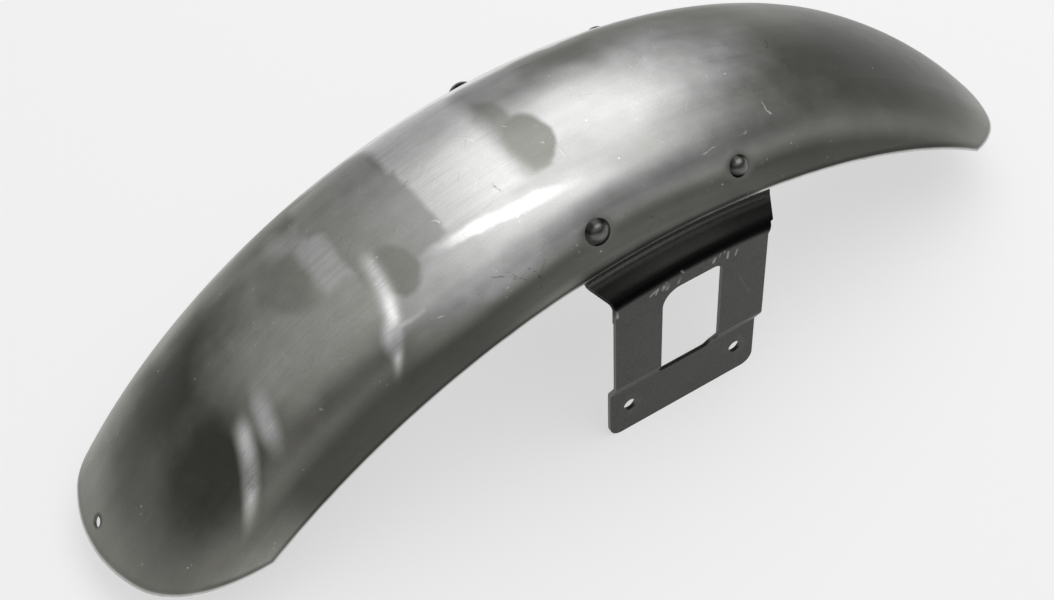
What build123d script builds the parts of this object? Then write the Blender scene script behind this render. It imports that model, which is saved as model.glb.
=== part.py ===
from build123d import *
from math import acos, asin, atan2, cos, degrees, hypot, radians, sin, sqrt
import os

# A motorcycle front fender in bare steel: one arched shell and two bracket plates
# riveted inside its skirts, with two bolt holes in each plate for the fork legs.
# Everything is drawn about the wheel axle, with +X forward, +Y to the rider's left
# and +Z up, in millimetres. At the end the set is moved so that the brackets'
# lower edges stand at Z = 0.

# Shell, side view
SKIRT_R = 330.0           # lower edge of the skirts, from the axle
SHELL_DEPTH = 44.5        # from the skirt edge up to the crown, over the axle
CROWN_X = -14.8           # centre of the crown's arc: behind the axle
CROWN_Z = 53.2            # and above it, which makes the skirts shallow at the front
REAR_CORNER_ANGLE = 130.3  # where the skirt edge ends, up from +X
FRONT_CORNER_ANGLE = 53.0
REAR_FALL_ANGLE = 9.0     # slope of the straight end cuts, down and away from the wheel
FRONT_FALL_ANGLE = 15.3
CORNER_R = 3.5            # rounding of the four skirt corners

# Shell, cross-section
HALF_WIDTH = 60.8
CROWN_ARC_R = 107.3       # flat arc over the top
SHOULDER_R = 39.8         # tighter arc that turns down into the skirt
SHEET = 1.6

# Hole near the rear end
TAIL_HOLE_D = 5.3
TAIL_HOLE_IN = 10.6       # from the rear end, along the crown
TAIL_HOLE_Y = 5.1         # the hole sits a little left of the centre line

# Rivets
RIVET_PITCH = 76.8
RIVET_MID_X = 0.7         # middle of each pair, ahead of the axle
RIVET_DROP = 24.7         # below the crown, so the row follows the crown's arc
SHANK_D = 6.4
REAR_HEAD_D = 12.5        # the rear pair was set harder and spread wider
FRONT_HEAD_D = 10.6
HEAD_H = 3.3
TAIL_D = 9.6
TAIL_H = 2.2
SEAT_SINK = 0.8           # how far the head's rim reaches down round the curved skirt

# Bracket: a tab inside the skirt and a flare under its edge
BRACKET_T = 2.0
TAB_PAST_REAR = 8.8       # tab beyond the rear rivet
TAB_PAST_FRONT = 16.9     # tab beyond the front rivet
TAB_ABOVE = 10.0          # tab above the rivets, in side view
TAB_FOOT = 2.0            # where the tab turns into the flare, above the skirt edge
TAB_CORNER_R = 8.0
TAB_GAP = 0.3             # the flare's upright stays this clear of the skirt
FLARE_OUT = 15.1          # the plate's outer face stands this far outside the skirt
SHELF_GAP = 3.6           # from the skirt edge down to the flare's top face
SHELF_FALL = 1.8          # that face drops this much on its way out
INNER_BEND_R = 3.0
OUTER_BEND_R = 5.0
EAR = 2.6                 # the outer bend is this much longer than the plate at its front end
EAR_DROP = 5.4            # that ear narrows from here below the flare's top face
EAR_H = 5.0               # over this height

# Bracket: the plate, the joggle and the strip that bolts to the fork leg
BOLT_PITCH = 61.8
BOLT_Z = 240.3            # the bolts' height over the axle
BOLT_HOLE_D = 7.0
PLATE_PAST_BOLT = 11.3    # plate beyond each bolt
PLATE_TOP_DROP = 14.4     # the plate is flat from here below the flare's top face
STRIP_BELOW = 17.1        # strip below the bolts
STRIP_ABOVE = 13.7        # strip above the bolts, up to the joggle
STRIP_CORNER_R = 6.5
JOGGLE = 4.7              # the strip is set in by this much
JOGGLE_H = 8.4
JOGGLE_BEND_R = 3.0

# Window in each bracket
WINDOW_W = 33.2
WINDOW_DROP = 13.5        # its top edge, below the flare's top face
WINDOW_DIP = 1.2          # its lower edge, below the joggle
WINDOW_R = 5.0
WINDOW_REAR_TOP_R = 9.5   # one corner is rounder than the rest

# Worked out from the sizes above
CLEAR = 20.0              # how far cutting shapes run past the part
CUT_LENGTH = 90.0         # length of the end cuts, enough to pass the crown
CROWN_R = SKIRT_R + SHELL_DEPTH - CROWN_Z
SECTION_FOOT = SKIRT_R - hypot(CROWN_X, CROWN_Z) - CLEAR
TURN = asin((HALF_WIDTH - SHOULDER_R) / (CROWN_ARC_R - SHOULDER_R))
SHOULDER_Y = HALF_WIDTH - SHOULDER_R
SHOULDER_V = CROWN_R - CROWN_ARC_R + (CROWN_ARC_R - SHOULDER_R) * cos(TURN)
RIVET_X = {"rear": RIVET_MID_X - RIVET_PITCH / 2, "front": RIVET_MID_X + RIVET_PITCH / 2}
HEAD_D = {"rear": REAR_HEAD_D, "front": FRONT_HEAD_D}
TAB_REAR_X = RIVET_X["rear"] - TAB_PAST_REAR
TAB_FRONT_X = RIVET_X["front"] + TAB_PAST_FRONT
SHELF_R = SKIRT_R - SHELF_GAP
PLATE_Y = HALF_WIDTH + FLARE_OUT
PLATE_HALF = BOLT_PITCH / 2 + PLATE_PAST_BOLT
PLATE_TOP_R = SHELF_R - PLATE_TOP_DROP
STRIP_BOTTOM = BOLT_Z - STRIP_BELOW
JOGGLE_BOTTOM = BOLT_Z + STRIP_ABOVE
JOGGLE_TOP = JOGGLE_BOTTOM + JOGGLE_H
WINDOW_BOTTOM = JOGGLE_BOTTOM - WINDOW_DIP
WINDOW_TOP = SHELF_R - WINDOW_DROP
AXLE = Axis((0, 0, 0), (0, 1, 0))
CROWN_AXIS = Axis((CROWN_X, 0, CROWN_Z), (0, 1, 0))
SIDES = {"right": -1, "left": 1}


def section_line(inset):
    """The shell's cross-section from foot to foot, set in from the outer face."""
    turn = degrees(TURN)
    shoulder = SHOULDER_R - inset
    side = HALF_WIDTH - inset
    return [
        Line((side, SECTION_FOOT), (side, SHOULDER_V)),
        CenterArc((SHOULDER_Y, SHOULDER_V), shoulder, 0, 90 - turn),
        CenterArc((0, CROWN_R - CROWN_ARC_R), CROWN_ARC_R - inset, 90 - turn, 2 * turn),
        CenterArc((-SHOULDER_Y, SHOULDER_V), shoulder, 90 + turn, 90 - turn),
        Line((-side, SHOULDER_V), (-side, SECTION_FOOT)),
    ]


def pressed_ring(outer, inner):
    """The sheet between two insets, turned about the crown's axis."""
    feet = [
        Line((side * (HALF_WIDTH - outer), SECTION_FOOT), (side * (HALF_WIDTH - inner), SECTION_FOOT))
        for side in SIDES.values()
    ]
    section = make_face(section_line(outer) + section_line(inner) + feet)
    upright = Plane((CROWN_X, 0, CROWN_Z), x_dir=(0, 1, 0), z_dir=(1, 0, 0))
    return revolve(upright * section, CROWN_AXIS)


def polar(radius, angle):
    """A point in side view, from the axle."""
    return Vector(radius * cos(radians(angle)), radius * sin(radians(angle)))


def side_prism(outline, near, far):
    """A side-view outline as a prism between two distances from the centre plane."""
    return Pos(0, far, 0) * extrude(Plane.XZ * outline, far - near)


def shell_outline():
    """Side view of the shell: the skirt edge's arc below, a straight cut at each end."""
    rear = polar(SKIRT_R, REAR_CORNER_ANGLE)
    front = polar(SKIRT_R, FRONT_CORNER_ANGLE)
    rear_tip = rear - polar(CUT_LENGTH, REAR_FALL_ANGLE)
    front_tip = front + polar(CUT_LENGTH, -FRONT_FALL_ANGLE)
    over = (0, CROWN_Z + CROWN_R + CUT_LENGTH)
    outline = make_face([
        CenterArc((0, 0), SKIRT_R, FRONT_CORNER_ANGLE, REAR_CORNER_ANGLE - FRONT_CORNER_ANGLE),
        Line(rear, rear_tip),
        ThreePointArc(rear_tip, over, front_tip),
        Line(front_tip, front),
    ])
    corners = [outline.vertices().sort_by_distance(corner)[0] for corner in (rear, front)]
    return fillet(corners, CORNER_R)


def rear_end_angle():
    """Where the rear cut meets the crown's arc, in degrees about that arc's centre."""
    corner = polar(SKIRT_R, REAR_CORNER_ANGLE) - Vector(CROWN_X, CROWN_Z)
    along = Vector(-cos(radians(REAR_FALL_ANGLE)), -sin(radians(REAR_FALL_ANGLE)))
    shift = corner.dot(along)
    run = sqrt(shift**2 + CROWN_R**2 - corner.length**2) - shift
    tip = corner + along * run
    return degrees(atan2(tip.Y, tip.X))


def tail_hole():
    """The small hole through the crown near the rear end."""
    angle = radians(rear_end_angle()) - TAIL_HOLE_IN / CROWN_R
    outward = Vector(cos(angle), 0, sin(angle))
    spot = Vector(CROWN_X, TAIL_HOLE_Y, CROWN_Z) + outward * CROWN_R
    return Plane(spot, x_dir=(0, 1, 0), z_dir=outward) * Cylinder(TAIL_HOLE_D / 2, CLEAR)


def rivet_plane(x, side):
    """The plane on the shell's outer face at a rivet, facing out."""
    radius = CROWN_R - RIVET_DROP
    along = acos((x - CROWN_X) / radius)
    lift = asin((radius - SHOULDER_V) / SHOULDER_R)
    spot = Vector(x, side * (SHOULDER_Y + SHOULDER_R * cos(lift)), CROWN_Z + radius * sin(along))
    outward = Vector(sin(lift) * cos(along), side * cos(lift), sin(lift) * sin(along))
    return Plane(spot, z_dir=outward)


def rivet_holes(side):
    """The two rivet holes of one side, through the skirt and the tab."""
    hole = Cylinder(SHANK_D / 2, CLEAR)
    return [rivet_plane(x, side) * hole for x in RIVET_X.values()]


def make_shell():
    """The arched shell with its rivet holes and tail hole."""
    blank = side_prism(shell_outline(), -HALF_WIDTH - CLEAR, HALF_WIDTH + CLEAR)
    shell = pressed_ring(0, SHEET) & blank
    for side in SIDES.values():
        for hole in rivet_holes(side):
            shell -= hole
    return shell - tail_hole()


def tab_outline():
    """Side view of the tab: its foot follows the skirt edge, its top the crown."""
    foot_r = SKIRT_R + TAB_FOOT
    top_r = CROWN_R - RIVET_DROP + TAB_ABOVE
    outline = Pos(CROWN_X, CROWN_Z) * Circle(top_r) - Circle(foot_r)
    height = CROWN_Z + top_r
    middle = (TAB_FRONT_X + TAB_REAR_X) / 2
    band = Pos(middle, height / 2) * Rectangle(TAB_FRONT_X - TAB_REAR_X, height)
    tab = (outline & band).face()
    return fillet(tab.vertices().sort_by(Axis.Y)[-2:], TAB_CORNER_R)


def sheet_strip(points, radii):
    """A bent sheet seen end on: its outer face runs through the points, its thickness lies inside."""
    inner = [offset_point(points, index) for index in range(len(points))]
    face = make_face(Polyline(*points, *reversed(inner), close=True))
    for index, radius in radii.items():
        outside = turns_out(points, index)
        for point, bend in ((points[index], radius), (inner[index], radius - outside * BRACKET_T)):
            corner = face.vertices().sort_by_distance((*point, 0))[0]
            face = fillet(corner, bend)
    return face


def offset_point(points, index):
    """The point of the inner face that answers to a point of the outer face."""
    here = Vector(*points[index])
    sides = []
    if index > 0:
        sides.append((here - Vector(*points[index - 1])).normalized())
    if index < len(points) - 1:
        sides.append((Vector(*points[index + 1]) - here).normalized())
    normals = [Vector(side.Y, -side.X) for side in sides]
    middle = sum(normals, Vector()).normalized()
    inner = here + middle * (BRACKET_T / middle.dot(normals[0]))
    return inner.X, inner.Y


def turns_out(points, index):
    """1 where the outer face is on the outside of a bend, -1 where it is on the inside."""
    before = Vector(*points[index]) - Vector(*points[index - 1])
    after = Vector(*points[index + 1]) - Vector(*points[index])
    return 1 if before.cross(after).Z < 0 else -1


def make_flare():
    """The flare, turned about the axle: out from the tab, then down into the plate."""
    upright = HALF_WIDTH - SHEET - TAB_GAP
    face = sheet_strip(
        [
            (upright, SKIRT_R + TAB_FOOT),
            (upright, SHELF_R),
            (PLATE_Y, SHELF_R - SHELF_FALL),
            (PLATE_Y, PLATE_TOP_R),
        ],
        {1: INNER_BEND_R, 2: OUTER_BEND_R},
    )
    ring = revolve(Plane.YZ * face, AXLE)
    rear, front = -PLATE_HALF, PLATE_HALF + EAR
    plan = make_face(Polyline(
        (TAB_REAR_X, 0), (TAB_REAR_X, upright), (rear, PLATE_Y), (rear, PLATE_Y + CLEAR),
        (front, PLATE_Y + CLEAR), (front, PLATE_Y), (TAB_FRONT_X, upright), (TAB_FRONT_X, 0),
        close=True,
    ))
    ear_top = SHELF_R - EAR_DROP
    below_ear = make_face(Polyline(
        (PLATE_HALF, 0), (PLATE_HALF, ear_top - EAR_H), (front, ear_top), (front + CLEAR, ear_top),
        (front + CLEAR, 0), close=True,
    ))
    flare = ring & extrude(plan, SKIRT_R + CLEAR)
    return flare - side_prism(below_ear, PLATE_Y - BRACKET_T - INNER_BEND_R, PLATE_Y + CLEAR)


def plate_outline():
    """Side view of the plate and its bolting strip, with the window and the bolt holes."""
    height = PLATE_TOP_R - STRIP_BOTTOM
    blank = Pos(0, STRIP_BOTTOM + height / 2) * Rectangle(2 * PLATE_HALF, height)
    blank = blank & Circle(PLATE_TOP_R)
    blank = fillet(blank.vertices().sort_by(Axis.Y)[:2], STRIP_CORNER_R)
    for x in (-BOLT_PITCH / 2, BOLT_PITCH / 2):
        blank -= Pos(x, BOLT_Z) * Circle(BOLT_HOLE_D / 2)
    return blank


def window_outline():
    """The window, whose upper rear corner is the roundest."""
    height = WINDOW_TOP - WINDOW_BOTTOM
    rear, front = -WINDOW_W / 2, WINDOW_W / 2
    window = Pos(0, WINDOW_BOTTOM + height / 2) * Rectangle(WINDOW_W, height)
    roundest = window.vertices().sort_by_distance((rear, WINDOW_TOP, 0))[0]
    window = fillet(roundest, WINDOW_REAR_TOP_R)
    others = ((front, WINDOW_TOP), (front, WINDOW_BOTTOM), (rear, WINDOW_BOTTOM))
    corners = [window.vertices().sort_by_distance((x, z, 0))[0] for x, z in others]
    return fillet(corners, WINDOW_R)


def make_plate():
    """The flat plate, the joggle and the strip that bolts to the fork leg."""
    profile = sheet_strip(
        [
            (PLATE_Y, PLATE_TOP_R),
            (PLATE_Y, JOGGLE_TOP),
            (PLATE_Y - JOGGLE, JOGGLE_BOTTOM),
            (PLATE_Y - JOGGLE, STRIP_BOTTOM),
        ],
        {1: JOGGLE_BEND_R + BRACKET_T, 2: JOGGLE_BEND_R},
    )
    bent = Pos(-PLATE_HALF - CLEAR, 0, 0) * extrude(Plane.YZ * profile, 2 * (PLATE_HALF + CLEAR))
    return bent & side_prism(plate_outline(), 0, PLATE_Y + CLEAR)


def make_left_bracket():
    """One stamped bracket: tab, flare, plate and strip in a single sheet."""
    ring = pressed_ring(SHEET, SHEET + BRACKET_T)
    tab = ring & side_prism(tab_outline(), 0, HALF_WIDTH + CLEAR)
    bracket = tab + make_flare() + make_plate()
    bracket -= side_prism(window_outline(), HALF_WIDTH - SHEET, PLATE_Y + CLEAR)
    for hole in rivet_holes(SIDES["left"]):
        bracket -= hole
    return bracket


def make_rivet(end, side, shell, bracket):
    """A rivet with a domed head outside and a flat tail inside, seated on the curved sheets."""
    grip = SHEET + BRACKET_T
    head_r = HEAD_D[end] / 2
    dome_r = (HEAD_H**2 + head_r**2) / (2 * HEAD_H)
    dome_rim = degrees(asin((dome_r - HEAD_H) / dome_r))
    dome = CenterArc((0, HEAD_H - dome_r), dome_r, dome_rim, 90 - dome_rim)
    below = Polyline(
        (head_r, 0), (head_r, -SEAT_SINK), (SHANK_D / 2, -SEAT_SINK), (SHANK_D / 2, -grip),
        (TAIL_D / 2, -grip), (TAIL_D / 2, -grip - TAIL_H), (0, -grip - TAIL_H), (0, HEAD_H),
    )
    rivet = revolve(Plane.XZ * make_face([dome, below]), Axis.Z)
    return rivet_plane(RIVET_X[end], side) * rivet - shell - bracket


def build():
    """Every piece by name, drawn about the axle."""
    shell = make_shell()
    left = make_left_bracket()
    brackets = {"left": left, "right": mirror(left, Plane.XZ)}
    pieces = {"fender_shell": shell}
    for name, bracket in brackets.items():
        pieces[f"bracket_{name}"] = bracket
        for end in RIVET_X:
            pieces[f"rivet_{name}_{end}"] = make_rivet(end, SIDES[name], shell, bracket)
    return pieces


def main():
    """Stand the set on the brackets' lower edges, centred over the origin, and write it."""
    pieces = build()
    box = Compound(children=[piece.solid() for piece in pieces.values()]).bounding_box()
    place = Pos(-(box.min.X + box.max.X) / 2, 0, -box.min.Z)
    os.makedirs("parts", exist_ok=True)
    for name, piece in pieces.items():
        export_step(place * piece.solid(), f"parts/{name}.step")


main()
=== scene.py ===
import math

import bmesh
import bpy
from bpy.props import FloatProperty, FloatVectorProperty, PointerProperty
from mathutils import Euler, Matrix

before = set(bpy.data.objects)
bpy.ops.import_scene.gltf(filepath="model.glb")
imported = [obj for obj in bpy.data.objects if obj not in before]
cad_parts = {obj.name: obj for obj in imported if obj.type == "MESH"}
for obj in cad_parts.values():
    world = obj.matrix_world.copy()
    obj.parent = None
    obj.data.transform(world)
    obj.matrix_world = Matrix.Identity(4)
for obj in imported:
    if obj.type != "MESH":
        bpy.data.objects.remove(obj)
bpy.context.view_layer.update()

bl_info = {
    "name": "Front Fender Finish",
    "version": (1, 0, 0),
    "blender": (4, 5, 0),
    "location": "3D View > Sidebar > Fender",
    "description": "Finishes a bare-steel motorcycle fender and sets it on a studio floor",
    "category": "Material",
}

SHARP_ANGLE = math.radians(28)

# Millimetres in a metre, and a distance in millimetres beyond any on the part
MM = 1000
FAR = 999

# Where the model has them: the two axes as X and Z in metres, the rest in millimetres. The end cuts
# are a corner and a fall angle. The rivets and the tail hole are on the unrolled sheet.
CROWN_AXIS = (0.004239, -0.170)
CROWN_R = 321.3
AXLE = (0.019039, -0.2232)
SKIRT_R = 330
REAR_CUT = ((-194.4, 28.48), -9)
FRONT_CUT = ((217.64, 40.35), 15.3)
RIVET_SPOTS = (-24.8, 58.7)
RIVET_ROW = 81
TAIL_HOLE = (-291.5, 5.1)
BOLT_SPOTS = ((-11.86, 17.1), (49.94, 17.1))
JOGGLE_CREST = 31.2

# Rubs on the right bracket's face, as X and Z in millimetres: from, to, width, and how much lighter
RUBS = (
    ((-4.5, 93.0), (-2.0, 94.6), 0.6, 1.1),
    ((-1.5, 92.6), (-0.6, 94.8), 0.7, 1.5),
    ((2.2, 93.2), (3.4, 96.4), 0.9, 1.8),
    ((4.9, 92.4), (5.0, 94.0), 1.2, 1.2),
    ((10.6, 92.2), (11.9, 94.8), 0.6, 1.3),
    ((13.6, 97.0), (12.4, 98.6), 0.6, 0.9),
    ((30.2, 93.4), (31.0, 95.6), 0.8, 1.3),
    ((33.7, 92.2), (34.0, 96.2), 0.6, 1.6),
    ((35.6, 93.6), (36.2, 96.6), 0.5, 1.2),
    ((38.1, 91.2), (38.3, 94.8), 0.6, 1.5),
    ((42.6, 90.4), (43.4, 93.6), 0.5, 1.1),
    ((-22.8, 93.8), (-22.2, 90.4), 0.8, 1.2),
    ((-21.8, 2.2), (-19.6, 1.6), 1.1, 1.3),
    ((8.0, 24.0), (26.0, 27.0), 0.5, 0.12),
    ((52.0, 60.0), (46.0, 74.0), 0.5, 0.1),
    ((-16.0, 48.0), (-12.0, 62.0), 0.5, 0.1),
)

# Longer scratches on the unrolled sheet: from, to, width in millimetres, and the change in light
SCORES = (
    ((-79, -68), (-70, -77), 0.7, -0.4),
    ((-72, -71), (-66, -82), 0.6, -0.45),
    ((-63, -73), (-58, -91), 0.7, -0.4),
    ((-55, -78), (-61, -94), 0.6, -0.4),
    ((-49, -66), (-39, -73), 0.5, -0.3),
    ((-14, -75), (15, -97), 0.6, -0.25),
    ((-57, -16), (-53, -30), 0.6, -0.35),
    ((-61, 8), (-88, 3), 0.6, -0.25),
    ((-6, 4), (22, -14), 0.6, -0.2),
    ((58, 12), (34, -2), 0.5, -0.2),
    ((107, -12), (112, -5), 0.9, -0.4),
    ((-85, -22), (-83, -26), 0.7, 0.7),
    ((-33, 2), (-31, -1), 0.6, 0.6),
    ((-26, -16), (-24, -18), 0.6, 0.7),
    ((-23, -6), (-21, -9), 0.6, 0.6),
    ((83, -47), (84, -55), 0.9, 1.4),
    ((62, -63), (70, -60), 0.6, 1.0),
    ((40, -66), (47, -64), 0.6, 1.0),
    ((73, -20), (75, -25), 0.7, 0.9),
    ((-112, -66), (-104, -71), 0.7, 0.9),
    ((-174, -60), (-173, -62), 1.1, 1.6),
)

# The floor's flat disc and the sweep that rises round it, in metres and degrees
FLOOR_R = 4.0
FLOOR_SIDES = 96
SWEEP_R = 2.0
SWEEP_STEPS = 9
SWEEP_TURN = 8

# How white the floor looks to the camera and in reflections
FLOOR_WHITE = 0.6

# The softbox's width, length and place in metres, and the camera's sensor in millimetres
SOFTBOX_SIZE = (1.3, 2.7)
SOFTBOX_PLACE = (0.5, 0.25, 1.6)
SENSOR_WIDTH = 36.0

# The shell's finish: brightness, roughness and brushing where no mark lies, the limits of its
# brightness, and its inner face
CLEAN_SHEET = (0.8, 0.37, 0.12)
DARKEST, BRIGHTEST = 0.02, 2.15
INNER_SHINE, INNER_ROUGH = 0.42, 0.5

# One unit of height in every bump, in metres
BUMP_DEPTH = 0.00002

# Where a Mix node has its two inputs and its output, for each kind of value
MIX_SOCKETS = {"FLOAT": (2, 3, 0), "VECTOR": (4, 5, 1), "RGBA": (6, 7, 2)}

# How far the marks in the tables spread and how strongly they show
RUB_SPREAD, RUB_GAIN = 1.4, 2.8
SCORE_GAIN = 1.4


class Wire:
    """A socket inside a shader, with Python's operators for its maths."""

    def __init__(self, shader, socket, vector=False):
        self.shader = shader
        self.socket = socket
        self.vector = vector

    def math(self, operation, *values):
        kind = "ShaderNodeVectorMath" if self.vector else "ShaderNodeMath"
        node = self.shader.node(kind, {"operation": operation}, dict(enumerate(values)))
        return Wire(self.shader, node.outputs[0], self.vector)

    def __add__(self, other):
        return self.math("ADD", self, other)

    def __radd__(self, other):
        return self.math("ADD", other, self)

    def __sub__(self, other):
        return self.math("SUBTRACT", self, other)

    def __rsub__(self, other):
        return self.math("SUBTRACT", other, self)

    def __mul__(self, other):
        return self.math("MULTIPLY", self, other)

    def __rmul__(self, other):
        return self.math("MULTIPLY", other, self)

    def __truediv__(self, other):
        return self.math("DIVIDE", self, other)

    def __abs__(self):
        return self.math("ABSOLUTE", self)

    def sqrt(self):
        return self.math("SQRT", self)

    def most(self, other):
        return self.math("MAXIMUM", self, other)

    def least(self, other):
        return self.math("MINIMUM", self, other)

    def over(self, low, high):
        """0 on low's side, 1 on high's side, a soft step between; low may be the larger."""
        node = self.shader.node(
            "ShaderNodeMapRange",
            {"interpolation_type": "SMOOTHSTEP"},
            {"Value": self, "From Min": low, "From Max": high},
        )
        return Wire(self.shader, node.outputs[0])

    def dot(self, other):
        settings = {"operation": "DOT_PRODUCT"}
        node = self.shader.node("ShaderNodeVectorMath", settings, {0: self, 1: other})
        return Wire(self.shader, node.outputs["Value"])

    def length(self):
        node = self.shader.node("ShaderNodeVectorMath", {"operation": "LENGTH"}, {0: self})
        return Wire(self.shader, node.outputs["Value"])

    def scaled(self, number):
        return self.shader.tint(self, number)

    def parts(self):
        outputs = self.shader.node("ShaderNodeSeparateXYZ", None, {0: self}).outputs
        return [Wire(self.shader, part) for part in outputs]


class Shader:
    """The node tree of one material, or of the room's light, and short ways to fill it."""

    def __init__(self, name, store="materials"):
        self.data = getattr(bpy.data, store).new(name)
        self.data.use_nodes = True
        self.tree = self.data.node_tree
        self.tree.nodes.clear()

    def node(self, kind, settings=None, sockets=None):
        """Adds a node: its settings first, then the value or link of each socket."""
        node = self.tree.nodes.new(kind)
        for name, value in (settings or {}).items():
            setattr(node, name, value)
        for name, value in (sockets or {}).items():
            socket = node.inputs[name]
            if isinstance(value, Wire):
                self.tree.links.new(value.socket, socket)
            elif socket.type == "RGBA" and len(value) == 3:
                socket.default_value = (*value, 1)
            else:
                socket.default_value = value
        return node

    def place(self, kind="Object"):
        """The point on the object in metres, and its x, y and z."""
        point = Wire(self, self.node("ShaderNodeTexCoord").outputs[kind], True)
        return point, *point.parts()

    def facing(self):
        """The way the surface faces, as a vector."""
        return Wire(self, self.node("ShaderNodeNewGeometry").outputs["True Normal"], True)

    def vector(self, x, y, z):
        node = self.node("ShaderNodeCombineXYZ", None, {0: x, 1: y, 2: z})
        return Wire(self, node.outputs[0], True)

    def noise(self, where, scale, detail=3.0, rough=0.55, flat=False):
        """Soft noise from 0 to 1 round 0.5, in space or on a flat sheet."""
        node = self.node(
            "ShaderNodeTexNoise",
            {"noise_dimensions": "2D" if flat else "3D"},
            {"Vector": where, "Scale": scale, "Detail": detail, "Roughness": rough},
        )
        return Wire(self, node.outputs[0])

    def wobble(self, where, scale, reach):
        """The same place moved a little each way, so that edges drawn on it turn out ragged."""
        sockets = {"Vector": where, "Scale": scale, "Detail": 2.5}
        node = self.node("ShaderNodeTexNoise", {"noise_dimensions": "2D"}, sockets)
        drift = Wire(self, node.outputs["Color"], True) - (0.5, 0.5, 0.5)
        return where + drift.scaled(reach)

    def cells(self, where, scale, feature="F1"):
        """Distance on a flat sheet to the nearest of many points, or to their cells' edges."""
        settings = {"feature": feature, "voronoi_dimensions": "2D"}
        node = self.node("ShaderNodeTexVoronoi", settings, {"Vector": where, "Scale": scale})
        return Wire(self, node.outputs["Distance"])

    def mix(self, kind, mask, first, second, way="MIX"):
        """The first where the mask is 0 and the second where it is 1, or both in another way."""
        low, high, result = MIX_SOCKETS[kind]
        settings = {"data_type": kind, "blend_type": way}
        node = self.node("ShaderNodeMix", settings, {0: mask, low: first, high: second})
        return Wire(self, node.outputs[result], kind != "FLOAT")

    def blend(self, mask, first, second):
        """The first colour where the mask is 0, the second where it is 1."""
        return self.mix("RGBA", mask, first, second)

    def number(self, mask, first, second):
        """The first number where the mask is 0, the second where it is 1."""
        return self.mix("FLOAT", mask, first, second)

    def product(self, first, second):
        """Two colours multiplied."""
        return self.mix("RGBA", 1.0, first, second, "MULTIPLY")

    def tint(self, colour, level):
        """A colour or vector times a number."""
        sockets = {0: colour, "Scale": level}
        node = self.node("ShaderNodeVectorMath", {"operation": "SCALE"}, sockets)
        return Wire(self, node.outputs[0], True)

    def oval(self, where, middle, half, turn=0.0, soft=0.5):
        """1 in an oval on a flat sheet, fading over soft of its size at its edge."""
        turn = math.radians(turn)
        cos, sin = math.cos(turn), math.sin(turn)
        away = where - (*middle, 0)
        along = away.dot((cos / half[0], sin / half[0], 0))
        across = away.dot((-sin / half[1], cos / half[1], 0))
        return (along * along + across * across).sqrt().over(1 + soft, 1 - soft)

    def patch(self, where, low, high, soft):
        """1 in a four-sided patch between two corners of a flat sheet."""
        middle = [(a + b) / 2 for a, b in zip(low, high)]
        half = [(b - a) / 2 for a, b in zip(low, high)]
        past = abs(where - (*middle, 0)) - (*half, 0)
        along, across, _ = past.parts()
        return along.most(across).over(soft, -soft)

    def stroke(self, where, start, end, width):
        """1 along a straight mark between two points of a flat sheet."""
        run = [b - a for a, b in zip(start, end)]
        square = run[0] ** 2 + run[1] ** 2
        away = where - (*start, 0)
        reach = away.dot((run[0] / square, run[1] / square, 0)).most(0).least(1)
        line = self.vector(reach * run[0], reach * run[1], 0)
        return (away - line).length().over(width * 1.1, 0)

    def bump(self, height):
        """The surface's lean for a height in units of the bump depth."""
        sockets = {"Strength": 1.0, "Distance": BUMP_DEPTH, "Height": height}
        node = self.node("ShaderNodeBump", None, sockets)
        return Wire(self, node.outputs[0], True)

    def metal(self, colour, roughness, normal):
        """Joins the finish to the output as one metal surface."""
        sockets = {"Base Color": colour, "Roughness": roughness, "Metallic": 1.0, "Normal": normal}
        self.out(self.node("ShaderNodeBsdfPrincipled", None, sockets).outputs[0])

    def out(self, surface, kind="ShaderNodeOutputMaterial"):
        node = self.node(kind)
        self.tree.links.new(surface, node.inputs["Surface"])


class Coat:
    """How bright, how rough and how brushed the metal is, with marks laid one over another."""

    def __init__(self, shader, shine, rough, brushed):
        self.shader = shader
        self.layers = shader.vector(shine, rough, brushed)

    def lay(self, mask, shine, rough, brushed=0.0):
        top = (shine, rough, brushed)
        if isinstance(shine, Wire):
            top = self.shader.vector(*top)
        self.layers = self.shader.mix("VECTOR", mask, self.layers, top)

    def parts(self):
        return self.layers.parts()


def finish_node(name, shader):
    """Gives a CAD node its finish, with crisp edges and smooth curves."""
    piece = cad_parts[name]
    piece.data.materials.clear()
    piece.data.materials.append(shader.data)
    piece.data.shade_smooth()
    piece.data.set_sharp_from_angle(angle=SHARP_ANGLE)


def axle_radius(x, z):
    """Distance from the wheel's axle in millimetres."""
    forward, upward = (x - AXLE[0]) * MM, (z - AXLE[1]) * MM
    return (forward * forward + upward * upward).sqrt()


def unroll(s, x, y, z):
    """The shell's sheet laid flat in millimetres: forward, and leftward from the crown's line.

    Also 1 where the surface faces the tyre, and the distance to the sheet's nearest edge.
    """
    forward, upward = (x - CROWN_AXIS[0]) * MM, (z - CROWN_AXIS[1]) * MM
    radius = (forward * forward + upward * upward).sqrt()
    along = forward.math("ARCTAN2", forward, upward) * CROWN_R
    fall = (CROWN_R - radius).most(0)
    left = y * MM
    across = (abs(left) + fall) * left.math("SIGN", left)
    sheet = s.vector(along, across, 0)
    inside = s.facing().dot(s.vector(forward, left, upward)).over(0.1, -0.1)
    edge = axle_radius(x, z) - SKIRT_R
    for (corner_x, corner_z), fall in (REAR_CUT, FRONT_CUT):
        sin, cos = math.sin(math.radians(fall)), math.cos(math.radians(fall))
        past = x * MM - corner_x
        elsewhere = (past * math.copysign(1, corner_x)).over(-11, -12)
        edge = edge.least(past * sin + (z * MM - corner_z) * cos + elsewhere * FAR)
    return sheet, inside, edge


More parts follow.
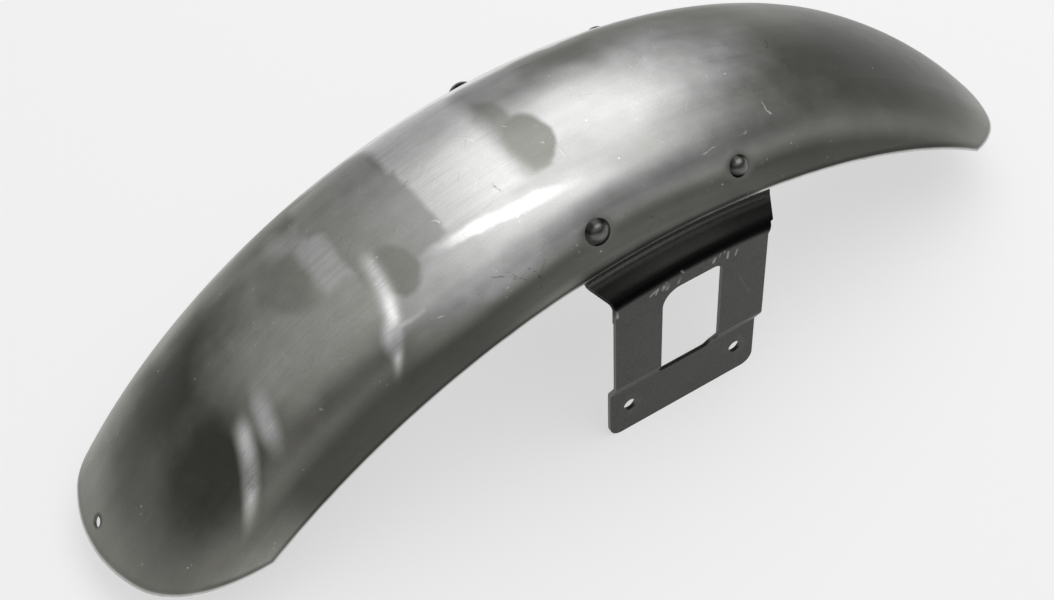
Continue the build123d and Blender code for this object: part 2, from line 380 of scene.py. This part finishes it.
class FenderFinish(bpy.types.PropertyGroup):
    """Colours of the three steels."""

    steel: FloatVectorProperty(
        name="Bare steel", description="The shell's sheet where it is clean",
        default=(0.45, 0.45, 0.445), size=3, subtype="COLOR", min=0, max=1,
    )
    bracket: FloatVectorProperty(
        name="Bracket steel", description="The dark oiled steel of the brackets",
        default=(0.065, 0.068, 0.063), size=3, subtype="COLOR", min=0, max=1,
    )
    rivet: FloatVectorProperty(
        name="Rivet steel", description="The dark steel of the rivets",
        default=(0.15, 0.152, 0.145), size=3, subtype="COLOR", min=0, max=1,
    )


class FenderStudio(bpy.types.PropertyGroup):
    """The floor, the lights and the camera."""

    floor: FloatVectorProperty(
        name="Floor", description="Colour of the floor",
        default=(0.86, 0.86, 0.86), size=3, subtype="COLOR", min=0, max=1,
    )
    walls: FloatVectorProperty(
        name="Walls", description="Light from the room's walls",
        default=(0.14, 0.14, 0.14), size=3, subtype="COLOR", min=0, max=1,
    )
    ceiling: FloatVectorProperty(
        name="Ceiling", description="Light from the room's ceiling",
        default=(0.6, 0.6, 0.6), size=3, subtype="COLOR", min=0, max=1,
    )
    softbox: FloatProperty(
        name="Softbox", description="Power of the long softbox overhead",
        default=17.5, min=0, unit="POWER",
    )
    eye: FloatVectorProperty(
        name="Camera", description="Where the camera stands",
        default=(-0.32088, -0.49817, 0.68352), size=3, subtype="TRANSLATION", unit="LENGTH",
    )
    turn: FloatVectorProperty(
        name="Camera turn", description="The camera's rotation",
        default=(0.727794, 0.039049, -0.583674), size=3, subtype="EULER", unit="ROTATION",
    )
    lens: FloatProperty(
        name="Lens", description="The camera's focal length, in millimetres on a 36 mm sensor",
        default=61.3976, min=1,
    )


class FENDER_OT_shell(bpy.types.Operator):
    """Finish the arched shell in bare steel"""

    bl_idname = "fender.shell"
    bl_label = "Finish Shell"

    def execute(self, context):
        look = context.scene.fender_finish
        s = Shader("bare_steel")
        point, x, y, z = s.place()
        sheet, inside, edge = unroll(s, x, y, z)
        coat, fold = self.marks(s, sheet)
        shine, rough, brushed = coat.parts()
        along, across, _ = sheet.parts()

        clouds = s.noise(point, 14.0, 3.0, 0.6)
        mottle = s.noise(point, 95.0, 3.0, 0.65)
        speckle = s.noise(sheet, 0.8, 2.0, 0.7, flat=True)
        lines = s.noise(s.vector(along * 0.02, across * 0.9, 0), 1.0, 4.0, 0.75, flat=True)
        wipes = s.noise(s.vector(along * 0.013, across * 0.1, 0), 1.0, 3.0, 0.6, flat=True)
        grain = (lines - 0.5) * (0.03 + 0.75 * brushed)
        uneven = (clouds - 0.5) * 0.45 + (mottle - 0.5) * 0.26
        shine = shine * (1 + grain + uneven + (wipes - 0.5) * 0.2)
        shine = shine * (1 + (speckle - 0.5) * 0.16)
        shine = self.scratches(s, point, sheet, mottle, shine)

        # The inner face is dull and the sheet's edges are bright; the strip beside them is darkened
        # as painted shade, more on the skirts
        dull = INNER_SHINE + (clouds + mottle - 1) * 0.4
        shine = s.number(inside, shine, dull)
        rough = s.number(inside, rough, INNER_ROUGH)
        lip = edge.over(1.5, 0.3)
        # Painted shade: a darker strip just inside the sheet's edges
        edge_shade = edge.over(4.0, 2.0) * edge.over(0.8, 1.6)
        shine = shine * (1 - edge_shade * (0.12 + 0.33 * abs(across).over(66, 84)))
        shine = shine + lip * (1.6 - shine) * (0.4 + 0.8 * mottle)
        rough = rough + (lines - 0.5) * 0.08 + (mottle - 0.5) * 0.14

        # Dull steel is greenish, clean steel neutral, and the rear of the sheet a little warmer
        tone = s.blend(shine.over(0.3, 1.0), (1.012, 1.03, 0.92), (0.99, 0.998, 0.995))
        warmth = along.over(-90, -135) * (0.3 + clouds) * shine.over(1.3, 0.8)
        tone = s.blend(warmth, tone, (1.025, 1.012, 0.93))
        light = shine.most(DARKEST).least(BRIGHTEST)
        colour = s.tint(s.product(tuple(look.steel), tone), light)
        wave = s.noise(point, 16.0, 1.0, 0.4)
        height = (lines - 0.5) * 0.3 + (speckle - 0.5) * 0.5 + wave * 22 + fold
        s.metal(colour, rough.most(0.16).least(0.7), s.bump(height))
        finish_node("fender_shell", s)
        return {"FINISHED"}

    def marks(self, s, sheet):
        """Where the sheet is sanded, burnished or dull, where it bears painted highlights and
        painted shade, and how high its creases stand.
        """
        ragged = s.wobble(sheet, 0.07, 4.5)
        drifting = s.wobble(sheet, 0.03, 22.0)
        along, across, _ = ragged.parts()
        coat = Coat(s, *CLEAN_SHEET)

        def oval(middle, half, shine, rough, brushed=0.1, turn=0.0, soft=0.5, where=drifting):
            coat.lay(s.oval(where, middle, half, turn, soft), shine, rough, brushed)

        def patch(low, high, shine, rough, brushed, soft=2.0):
            coat.lay(s.patch(ragged, low, high, soft), shine, rough, brushed)

        # The ends, darkened as painted shade where they would reflect a dark room, and lighter
        # again at their tips
        oval((208, -22), (112, 66), 0.25, 0.37, soft=0.65)
        oval((190, -12), (56, 40), 0.19, 0.37, soft=0.7)
        oval((-262, -60), (52, 34), 0.42, 0.40, soft=0.6)
        oval((-238, -8), (62, 54), 0.36, 0.40, turn=-8, soft=0.5)
        oval((-230, -38), (31, 25), 0.19, 0.42, turn=25, soft=0.5)
        oval((-218, 17), (46, 19), 0.18, 0.40, turn=8, soft=0.6)
        coat.lay(along.over(-262, -305), 0.48, 0.40)
        coat.lay(along.over(232, 290), 0.52, 0.38)

        # Sanded ground behind the brackets, with duller lobes left in it
        oval((-160, -14), (40, 32), 0.98, 0.42, 0.35, soft=0.5)
        oval((-170, -72), (48, 15), 0.5, 0.40, 0.2, soft=0.6)
        patch((-150, 16), (-130, 48), 1.25, 0.42, 0.5, 6.0)
        oval((-148, 4), (13, 18), 0.75, 0.45, soft=0.35)
        patch((-139, -17), (-125, 19), 1.3, 0.42, 0.7, 3.2)

        # The sanded band over the crown, with painted highlights on the crown, the far rim and the
        # bright shoulders below it
        # Painted highlights on the shoulders: the near lower shoulder and the far rim
        for way in (-1, 1):
            oval((-64, 62 * way), (50, 17), 1.6, 0.40, 0.15, soft=0.5)
            oval((2, 69 * way), (48, 13), 1.0, 0.38, soft=0.6)
        # Painted highlight along the far rim
        oval((-5, 58), (80, 9), 2.0, 0.40, 0.3, soft=0.5)
        oval((-142, 47), (46, 12), 0.5, 0.42, 0.3, soft=0.6)
        oval((70, 30), (72, 20), 0.4, 0.40, soft=0.6)
        # Painted highlights: the broad soft blob on the crown, and the bright zone on the near
        # lower shoulder
        oval((34, -3), (52, 26), 1.42, 0.42, soft=0.7)
        oval((-70, -47), (52, 14), 1.12, 0.40, 0.2, turn=-4, soft=0.5)
        patch((-62, -31), (-27, 26), 0.6, 0.46, 0.1, 3.0)
        oval((-28, -13), (11, 18), 0.52, 0.46, turn=-12, soft=0.14, where=ragged)
        oval((-20, 34), (17, 13), 0.95, 0.44, soft=0.5)
        band = s.patch(ragged, (-85, -33), (-10, 54), 3.0) * along.over(-34, -46)
        coat.lay(band, 1.2 + across.over(-8, 34) * 0.3, 0.43, 0.6)
        # Painted highlight: the bright streak on the near lower shoulder
        oval((-62, -41), (25, 3.2), 1.9, 0.32, 0.4, turn=-10, soft=0.9, where=ragged)
        oval((-72, -39.5), (11, 2.4), 2.1, 0.3, 0.4, turn=-10, soft=0.8, where=ragged)

        # Islands that the sanding missed
        patch((-130, 14), (-88, 50), 0.85, 0.46, 0.15, 2.5)
        patch((-124, -32), (-83, 15), 0.78, 0.46, 0.15, 2.0)
        oval((-110, -32), (9.5, 16), 0.62, 0.46, soft=0.16, where=ragged)

        # Creases where the sheet was rolled: a bump for each fold, and a painted highlight along it
        # where its flank faces the light
        along, across, _ = sheet.parts()
        deep = (-17 - across) / 73
        width = 3.8 + deep * 3.2 - deep * deep * 4.8
        line = (along + 117 + deep * 2 + deep * deep * 28) / width
        run = across.over(-92, -62) * across.over(-10, -22)
        core = abs(line).over(1.7, 0.0)
        # Painted highlight along the first crease
        coat.lay(core * core * run, 1.3 + across.over(-26, -56) * 0.9, 0.32, 0.8)
        step = line.over(1.6, -1.6) * line.over(-14, -2)
        fold = step * across.over(-98, -60) * across.over(4, -40) * 60
        # Painted highlight on the first crease's lower half
        oval((-130, -60), (4, 8), 1.9, 0.3, 0.8, turn=-22, soft=0.85, where=sheet)
        coat.lay(s.stroke(ragged, (-126, -57), (-112, -59), 2.4), 1.7, 0.32, 0.6)
        deep = (-20 - across) / 55
        line = (along + 203 + deep * deep * 35) / (4.3 + deep * 1.6)
        run = across.over(-80, -62) * across.over(-26, -41)
        core = abs(line).over(1.7, 0.0)
        # Painted highlight along the second crease
        coat.lay(core * run, 1.3 + across.over(-72, -52) * 0.8, 0.24, 0.8)
        step = line.over(1.5, -1.5) * line.over(-12, -2)
        fold = fold + step * across.over(-90, -52) * across.over(-4, -44) * 30
        # Painted highlight beside the second crease
        oval((-195.5, -43), (4.5, 14), 1.6, 0.36, 0.7, turn=-20, soft=0.85, where=sheet)

        # The skirts, darkened as painted shade where they would reflect a dark floor
        side = abs(across)
        # Painted shade: the skirts darker below the shoulders, starting lower in the middle of the
        # sheet
        shade_shift = along.over(-150, -95) * along.over(105, 45) * 5
        coat.lay((side - shade_shift).over(67, 84) * along.over(-264, -206), 0.165, 0.36, 0.1)
        # Painted light: lighter bands low on each skirt over the brackets, where their shade falls
        for way in (1, -1):
            oval((4, 96 * way), (72, 11), 0.28, 0.38, soft=0.7, where=sheet)
            oval((14, 103 * way), (64, 4), 0.62, 0.42, soft=0.9, where=sheet)
        # Painted shade: a darker ring round each rivet head
        for middle in RIVET_SPOTS:
            for way in (1, -1):
                ring = (middle, RIVET_ROW * way)
                oval(ring, (8.3, 8.3), 0.36, 0.42, 0.05, soft=0.4, where=ragged)

        # The dark ring round the tail hole
        hole = (sheet - (*TAIL_HOLE, 0)).length()
        coat.lay(hole.over(4.4, 2.8), 0.25, 0.5)
        return coat, fold

    def scratches(self, s, point, sheet, mottle, shine):
        """Hair scratches, bright flecks and a few longer scores."""
        broken = s.noise(point, 60.0, 1.0, 0.5).over(0.52, 0.62)
        for turn, scale, light in ((24, 0.2, 0.35), (-52, 0.17, -0.22)):
            cos, sin = math.cos(math.radians(turn)), math.sin(math.radians(turn))
            stretched = sheet.dot((cos * 0.16, sin * 0.16, 0))
            hair = s.vector(stretched, sheet.dot((-sin, cos, 0)), 0)
            near = s.cells(hair, scale, "DISTANCE_TO_EDGE")
            shine = shine * (1 + near.over(0.009, 0.0) * broken * light)
        fleck = s.cells(sheet, 0.21).over(0.16, 0.05) * mottle.over(0.62, 0.7)
        shine = shine + fleck * 0.6
        worn = mottle.over(0.36, 0.56)
        crooked = s.wobble(sheet, 0.16, 5.0)
        for start, end, width, light in SCORES:
            shine = shine * (1 + s.stroke(crooked, start, end, width) * worn * light * SCORE_GAIN)
        return shine


class FENDER_OT_brackets(bpy.types.Operator):
    """Finish both brackets in dark steel"""

    bl_idname = "fender.brackets"
    bl_label = "Finish Brackets"

    def execute(self, context):
        look = context.scene.fender_finish
        s = Shader("dark_steel")
        point, x, y, z = s.place()
        side = abs(y) * MM
        plate = s.vector(x * MM, z * MM, 0)
        radius = axle_radius(x, z)
        coat = Coat(s, 1.0, 0.40, 0.0)

        # Painted shade on the flare, darkest in its bend and dark on its shelf, with a painted
        # highlight across the shelf's middle and lighter just under the skirt
        coat.lay(radius.over(319.3, 322.3), 0.07, 0.5)
        top = radius.over(323.0, 324.6)
        shelf = top * side.over(73.0, 69.5)
        coat.lay(shelf, 0.27, 0.46)
        # Painted highlight across the middle of the shelf
        coat.lay(shelf * abs(x - 0.022).over(0.04, 0.008), 0.42, 0.46)
        coat.lay(top * side.over(65.5, 62.5), 0.85, 0.46)

        clouds = s.noise(point, 26.0, 3.0, 0.6)
        mottle = s.noise(point, 160.0, 3.0, 0.7)
        speckle = s.noise(point, 1100.0, 2.0, 0.7)
        shine, rough, _ = coat.parts()
        uneven = (clouds - 0.5) * 0.5 + (mottle - 0.5) * 0.4
        shine = shine * (1 + uneven + (speckle - 0.5) * 0.9)

        # Cut edges, a painted highlight along the joggle's crest, and rubs where the plate was
        # handled
        _, facing_side, _ = s.facing().parts()
        cut = abs(facing_side).over(0.6, 0.2) * radius.over(318.0, 316.0)
        shine = shine + cut * (0.5 + mottle * 0.9)
        # Painted highlight along the joggle's crest, where it catches the light
        crest_glint = abs(z * MM - JOGGLE_CREST).over(1.1, 0.2) * side.over(72.6, 71.6)
        shine = shine + crest_glint * mottle * 0.9
        worn = mottle.over(0.34, 0.54) * side.over(75.2, 75.8) * y.over(0.0, -0.001)
        for start, end, width, light in RUBS:
            rub = s.stroke(plate, start, end, width * RUB_SPREAD)
            shine = shine + rub * worn * light * RUB_GAIN
        for middle in BOLT_SPOTS:
            away = (plate - (*middle, 0)).length()
            ring = away.over(8.5, 6.0) * away.over(3.4, 4.2)
            shine = shine + ring * mottle.over(0.4, 0.7) * 0.35
        colour = s.tint(tuple(look.bracket), shine.most(0.05))
        rough = rough + (mottle - 0.5) * 0.22 + (clouds - 0.5) * 0.15
        height = speckle - 0.5 + (mottle - 0.5) * 2.2
        s.metal(colour, rough.most(0.2).least(0.75), s.bump(height))
        for name in ("bracket_left", "bracket_right"):
            finish_node(name, s)
        return {"FINISHED"}


class FENDER_OT_rivets(bpy.types.Operator):
    """Finish the four rivets in smooth dark steel"""

    bl_idname = "fender.rivets"
    bl_label = "Finish Rivets"

    def execute(self, context):
        look = context.scene.fender_finish
        s = Shader("rivet_steel")
        point, x, y, z = s.place()
        sheet, _, _ = unroll(s, x, y, z)
        along, across, _ = sheet.parts()
        middle = s.number(along.over(16, 18), *RIVET_SPOTS)
        away = s.vector(along - middle, abs(across) - RIVET_ROW, 0).length()
        # Painted shade: the rivet heads darker towards their rims
        rim_shade = away.over(3.6, 5.8)
        tarnish = s.noise(point, 240.0, 3.0, 0.65)
        speckle = s.noise(point, 1500.0, 2.0, 0.7)
        shine = 1 + (tarnish - 0.5) * 1.1 + (speckle - 0.5) * 0.5
        shine = shine * (1 - rim_shade * 0.72)
        colour = s.tint(tuple(look.rivet), shine.most(0.1))
        rough = 0.25 + (tarnish - 0.5) * 0.2
        s.metal(colour, rough.most(0.15), s.bump(speckle - 0.5 + (tarnish - 0.5) * 4))
        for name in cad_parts:
            if name.startswith("rivet_"):
                finish_node(name, s)
        return {"FINISHED"}


class FENDER_OT_studio(bpy.types.Operator):
    """Set out the floor, the softbox, the room's light and the camera"""

    bl_idname = "fender.studio"
    bl_label = "Set Out Studio"

    def execute(self, context):
        studio = context.scene.fender_studio
        self.floor(context, studio)
        self.room(context, studio)
        self.softbox(context, studio)
        self.camera(context, studio)
        return {"FINISHED"}

    def floor(self, context, studio):
        """A flat disc with a sweep up round it, paler to the camera than its paper alone."""
        rings = [(FLOOR_R, 0.0)]
        for step in range(1, SWEEP_STEPS + 1):
            turn = math.radians(SWEEP_TURN * step)
            rings.append((FLOOR_R + SWEEP_R * math.sin(turn), SWEEP_R * (1 - math.cos(turn))))
        sheet = bmesh.new()
        bmesh.ops.create_circle(sheet, cap_ends=True, segments=FLOOR_SIDES, radius=FLOOR_R)
        edges = list(sheet.edges)
        for (near, _), (far, height) in zip(rings, rings[1:]):
            grown = bmesh.ops.extrude_edge_only(sheet, edges=edges)["geom"]
            edges = [item for item in grown if isinstance(item, bmesh.types.BMEdge)]
            for vertex in (item for item in grown if isinstance(item, bmesh.types.BMVert)):
                vertex.co = (vertex.co.x * far / near, vertex.co.y * far / near, height)
        for face in sheet.faces:
            face.smooth = True
        mesh = bpy.data.meshes.new("floor")
        sheet.to_mesh(mesh)
        sheet.free()
        floor = bpy.data.objects.new("floor", mesh)
        context.scene.collection.objects.link(floor)
        s = Shader("floor")
        paper = {"Base Color": tuple(studio.floor), "Roughness": 0.9}
        paper = s.node("ShaderNodeBsdfPrincipled", None, paper)
        white = {"Color": (1.0, 1.0, 1.0), "Strength": 1.0}
        white = s.node("ShaderNodeEmission", None, white)
        rays = s.node("ShaderNodeLightPath").outputs
        seen = Wire(s, rays["Is Camera Ray"])
        for kind in ("Is Glossy Ray", "Is Transmission Ray"):
            seen = seen.most(Wire(s, rays[kind]))
        both = s.node("ShaderNodeMixShader", None, {0: seen * FLOOR_WHITE})
        s.tree.links.new(paper.outputs[0], both.inputs[1])
        s.tree.links.new(white.outputs[0], both.inputs[2])
        s.out(both.outputs[0])
        mesh.materials.append(s.data)

    def room(self, context, studio):
        """The room's light: dim walls and a pale ceiling."""
        s = Shader("room", "worlds")
        up = s.place("Generated")[3]
        light = s.blend(up.over(0.35, 0.85), tuple(studio.walls), tuple(studio.ceiling))
        back = s.node("ShaderNodeBackground", None, {"Color": light, "Strength": 1.0})
        s.out(back.outputs[0], "ShaderNodeOutputWorld")
        context.scene.world = s.data

    def softbox(self, context, studio):
        data = bpy.data.lights.new("softbox", "AREA")
        data.shape = "RECTANGLE"
        data.size, data.size_y = SOFTBOX_SIZE
        data.energy = studio.softbox
        lamp = bpy.data.objects.new("softbox", data)
        lamp.location = SOFTBOX_PLACE
        context.scene.collection.objects.link(lamp)

    def camera(self, context, studio):
        data = bpy.data.cameras.new("camera")
        data.sensor_width = SENSOR_WIDTH
        data.lens = studio.lens
        eye = bpy.data.objects.new("camera", data)
        eye.location = studio.eye
        eye.rotation_euler = Euler(studio.turn)
        context.scene.collection.objects.link(eye)
        context.scene.camera = eye
        context.scene.view_settings.view_transform = "Standard"


class FENDER_PT_panel(bpy.types.Panel):
    """The fender's colours and steps"""

    bl_idname = "FENDER_PT_panel"
    bl_label = "Front Fender"
    bl_space_type = "VIEW_3D"
    bl_region_type = "UI"
    bl_category = "Fender"

    def draw(self, context):
        look, studio = context.scene.fender_finish, context.scene.fender_studio
        for name in ("steel", "bracket", "rivet"):
            self.layout.prop(look, name)
        for name in ("floor", "walls", "ceiling", "softbox", "eye", "turn", "lens"):
            self.layout.prop(studio, name)
        for step in STEPS:
            self.layout.operator(step.bl_idname)


STEPS = (FENDER_OT_shell, FENDER_OT_brackets, FENDER_OT_rivets, FENDER_OT_studio)
CLASSES = (FenderFinish, FenderStudio, *STEPS, FENDER_PT_panel)


def register():
    for cls in CLASSES:
        bpy.utils.register_class(cls)
    bpy.types.Scene.fender_finish = PointerProperty(type=FenderFinish)
    bpy.types.Scene.fender_studio = PointerProperty(type=FenderStudio)


def unregister():
    del bpy.types.Scene.fender_studio
    del bpy.types.Scene.fender_finish
    for cls in reversed(CLASSES):
        bpy.utils.unregister_class(cls)


def main():
    """Finish every piece and set out the studio."""
    register()
    bpy.ops.fender.shell()
    bpy.ops.fender.brackets()
    bpy.ops.fender.rivets()
    bpy.ops.fender.studio()


if __name__ == "__main__":
    main()
